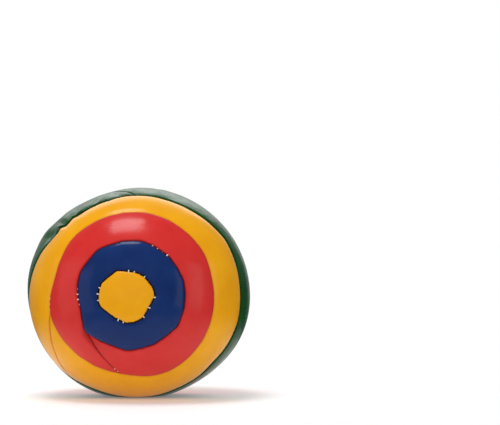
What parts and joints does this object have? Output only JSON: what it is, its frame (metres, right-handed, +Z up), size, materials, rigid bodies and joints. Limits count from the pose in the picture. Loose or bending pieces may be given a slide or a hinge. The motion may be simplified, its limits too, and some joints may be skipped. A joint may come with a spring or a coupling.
{
  "type": "juggling ball",
  "caption": "Soft sewn juggling ball of glossy coated cloth: a bull's-eye of coloured rings on each side of a green band, filled with loose pellets, with a small flat where it rests.",
  "frame": {"origin": "middle of the flat that the ball rests on", "axes": "+Z up from the flat; the bull's-eye with the yellow centre faces -Y and the one with the red centre faces +Y; X along the green band"},
  "size_m": [0.0654, 0.0656, 0.0624],
  "materials": {
    "yellow_vinyl": "glossy coated cloth, golden yellow",
    "blue_vinyl": "glossy coated cloth, dark blue",
    "red_vinyl": "glossy coated cloth, red",
    "green_vinyl": "glossy coated cloth, dark green",
    "thread": "pale twisted sewing thread",
    "pellets": "loose natural plastic pellets"
  },
  "bodies": {
    "root": {"front_disc": "yellow_vinyl", "front_inner_ring": "blue_vinyl", "front_middle_ring": "red_vinyl", "front_outer_ring": "yellow_vinyl", "equator_band": "green_vinyl", "back_outer_ring": "red_vinyl", "back_middle_ring": "yellow_vinyl", "back_inner_ring": "blue_vinyl", "back_disc": "red_vinyl", "front_disc_thread": "thread", "front_inner_thread": "thread", "front_middle_thread": "thread", "front_outer_thread": "thread", "back_outer_thread": "thread", "back_middle_thread": "thread", "back_inner_thread": "thread", "back_disc_thread": "thread", "closing_thread": "thread", "front_middle_joint_thread": "thread", "front_outer_joint_thread": "thread", "equator_joint_thread": "thread", "back_outer_joint_thread": "thread", "back_middle_joint_thread": "thread", "fill": "pellets"}
  },
  "joints": []
}
